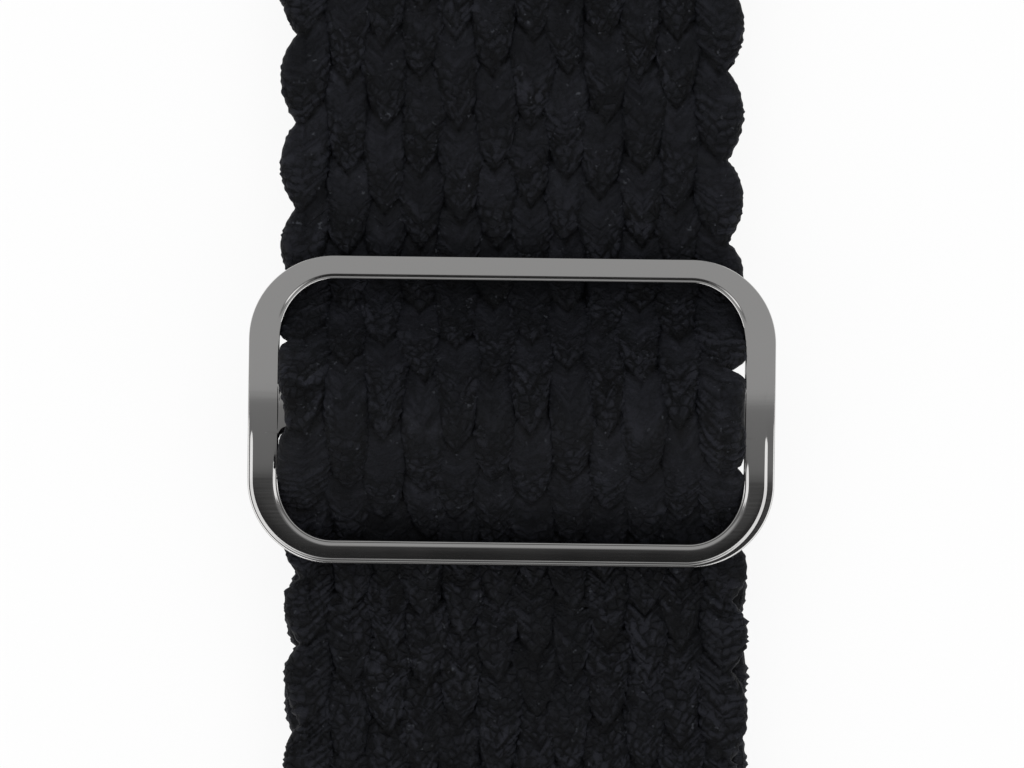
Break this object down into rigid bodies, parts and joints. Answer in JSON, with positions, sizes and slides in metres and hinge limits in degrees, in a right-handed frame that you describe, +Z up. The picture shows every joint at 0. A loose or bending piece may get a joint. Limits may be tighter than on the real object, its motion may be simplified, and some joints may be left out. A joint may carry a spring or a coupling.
{
  "type": "braided watch strap",
  "caption": "Stretch braided watch strap with a sliding metal buckle and quick release spring bars.",
  "frame": {"origin": "on the table under the middle of the buckle, halfway between the two end pieces", "axes": "+Y along the strap towards its upper end, +X across the strap to the right, +Z up out of its outer face"},
  "size_m": [0.0236, 0.1346, 0.0072],
  "materials": {
    "braid": "matt braided polyester yarn",
    "thread": "twisted polyester thread",
    "buckle_steel": "mirror polished stainless steel",
    "end_steel": "satin stainless steel",
    "spring_steel": "drawn spring wire"
  },
  "bodies": {
    "buckle": {"buckle_frame": "buckle_steel", "strap_buckle_run": "braid", "strap_bar_loop": "braid", "bar_loop_stitching": "thread", "strap_upper_run": "braid", "strap_lower_run": "braid", "strap_return_run": "braid"},
    "lower_turn": {"strap_lower_turn": "braid"},
    "lower_end": {"lower_end_piece": "end_steel", "lower_strap_pin": "end_steel", "lower_bar_tube": "end_steel", "lower_fixed_tip": "end_steel", "lower_bar_spring": "spring_steel"},
    "lower_release": {"lower_release_plunger": "end_steel", "lower_release_knob": "end_steel"},
    "upper_fold": {"strap_upper_fold": "braid", "upper_fold_stitching": "thread"},
    "upper_end": {"upper_end_piece": "end_steel", "upper_strap_pin": "end_steel", "upper_bar_tube": "end_steel", "upper_fixed_tip": "end_steel", "upper_bar_spring": "spring_steel"},
    "upper_release": {"upper_release_plunger": "end_steel", "upper_release_knob": "end_steel"}
  },
  "joints": [
    {"name": "lower_length", "type": "slide", "parent": "buckle", "child": "lower_turn", "axis": [0, -1, 0], "range_m": [-0.014, 0.008], "deforming": ["strap_lower_run", "strap_return_run"]},
    {"name": "upper_length", "type": "slide", "parent": "buckle", "child": "upper_fold", "axis": [0, -1, 0], "range_m": [-0.028, 0.016], "deforming": ["strap_upper_run"]},
    {"name": "lower_swing", "type": "hinge", "parent": "lower_turn", "child": "lower_end", "pos_m": [0, -0.0616, 0.00233], "axis": [1, 0, 0], "range_deg": [-95, 95]},
    {"name": "upper_swing", "type": "hinge", "parent": "upper_fold", "child": "upper_end", "pos_m": [0, 0.0616, 0.00233], "axis": [1, 0, 0], "range_deg": [-95, 95]},
    {"name": "lower_knob", "type": "slide", "parent": "lower_end", "child": "lower_release", "axis": [-1, 0, 0], "range_m": [0, 0.0012], "stiffness_N_per_m": 1500, "springref_m": -0.0008, "deforming": ["lower_bar_spring"]},
    {"name": "upper_knob", "type": "slide", "parent": "upper_end", "child": "upper_release", "axis": [-1, 0, 0], "range_m": [0, 0.0012], "stiffness_N_per_m": 1500, "springref_m": -0.0008, "deforming": ["upper_bar_spring"]}
  ],
  "couplings": [
    {"joint": "upper_length", "follows": "lower_length", "ratio": 2}
  ]
}
